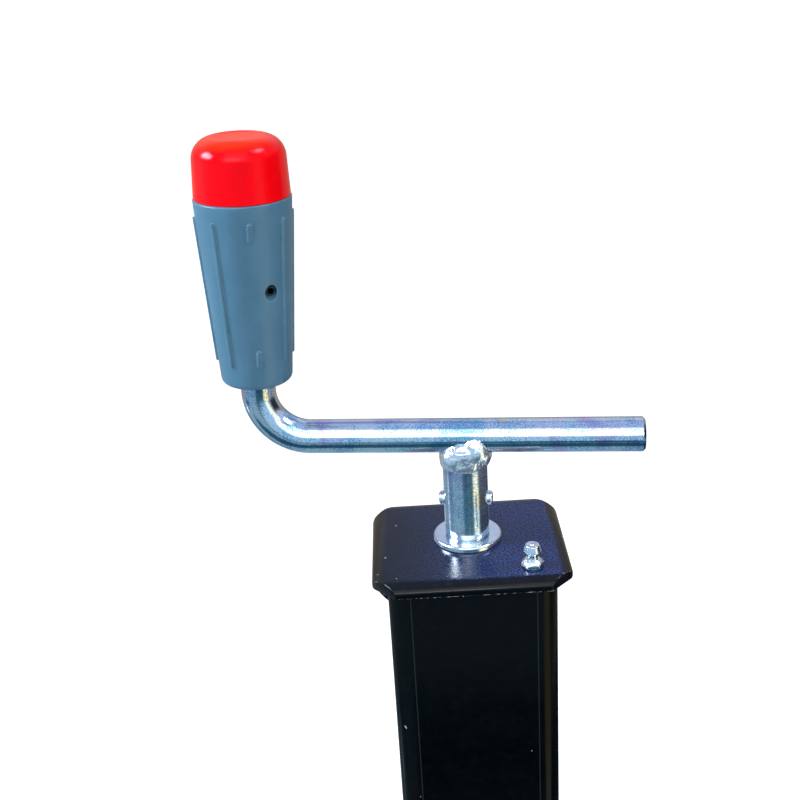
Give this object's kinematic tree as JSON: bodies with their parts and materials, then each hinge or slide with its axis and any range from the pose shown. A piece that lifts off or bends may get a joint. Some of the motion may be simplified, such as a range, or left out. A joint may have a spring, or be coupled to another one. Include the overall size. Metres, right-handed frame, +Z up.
{
  "type": "trailer prop stand",
  "caption": "Square telescopic prop stand wound by a bent crank with a spinning grip on its top plate, with a ball thrust bearing and screw inside.",
  "frame": {"origin": "centre of the foot plate's underside, on the spindle's axis, with the leg wound in", "axes": "+Z up along the spindle, -Y the front with the grease nipple, -X the side of the crank's grip"},
  "size_m": [0.1699, 0.14, 0.7695],
  "materials": {
    "black_tube": "gloss black paint",
    "black_plate": "satin black paint",
    "nipple_zinc": "bright zinc plating",
    "crank_zinc": "iridescent bright zinc plating",
    "weld_zinc": "plated weld bead",
    "leg_zinc": "bright zinc plating",
    "oiled_steel": "machined and greased",
    "bearing_steel": "ground and polished",
    "cage_steel": "pressed sheet",
    "weld_steel": "as welded",
    "grip_plastic": "satin blue-grey moulding",
    "cap_plastic": "gloss red moulding"
  },
  "bodies": {
    "housing": {"outer_tube": "black_tube", "top_plate": "black_plate", "plate_welds": "black_tube", "grease_nipple": "nipple_zinc", "nipple_ball": "bearing_steel", "upper_race": "bearing_steel"},
    "crank": {"spindle": "oiled_steel", "thrust_collar": "oiled_steel", "collar_pin": "bearing_steel", "lower_race": "bearing_steel", "stop_washer": "oiled_steel", "stop_pin": "bearing_steel", "crank_washer": "crank_zinc", "crank_sleeve": "crank_zinc", "cross_pin": "crank_zinc", "crank_rod": "crank_zinc", "crank_weld": "weld_zinc"},
    "cage": {"ball_cage": "cage_steel", "bearing_balls": "bearing_steel"},
    "grip": {"grip_body": "grip_plastic", "grip_cap": "cap_plastic", "grip_pin": "bearing_steel"},
    "leg": {"nut_plate": "oiled_steel", "spindle_nut": "oiled_steel", "nut_weld": "weld_steel", "inner_tube": "leg_zinc", "foot_plate": "leg_zinc", "foot_weld": "leg_zinc"}
  },
  "joints": [
    {"name": "crank_turn", "type": "hinge", "parent": "housing", "child": "crank", "pos_m": [0, 0, 0.6], "axis": [0, 0, 1], "range_deg": [0, 27000]},
    {"name": "leg_slide", "type": "slide", "parent": "housing", "child": "leg", "axis": [0, 0, -1], "range_m": [0, 0.3]},
    {"name": "cage_turn", "type": "hinge", "parent": "housing", "child": "cage", "pos_m": [0, 0, 0.589], "axis": [0, 0, 1], "range_deg": [0, 13500]},
    {"name": "grip_spin", "type": "hinge", "parent": "crank", "child": "grip", "pos_m": [-0.08018, 0.00956, 0.70958], "axis": [0.0277, -0.0033, 0.9996], "continuous": true}
  ],
  "couplings": [
    {"joint": "leg_slide", "follows": "crank_turn", "m_per_rad": 0.00063662},
    {"joint": "cage_turn", "follows": "crank_turn", "ratio": 0.5}
  ]
}
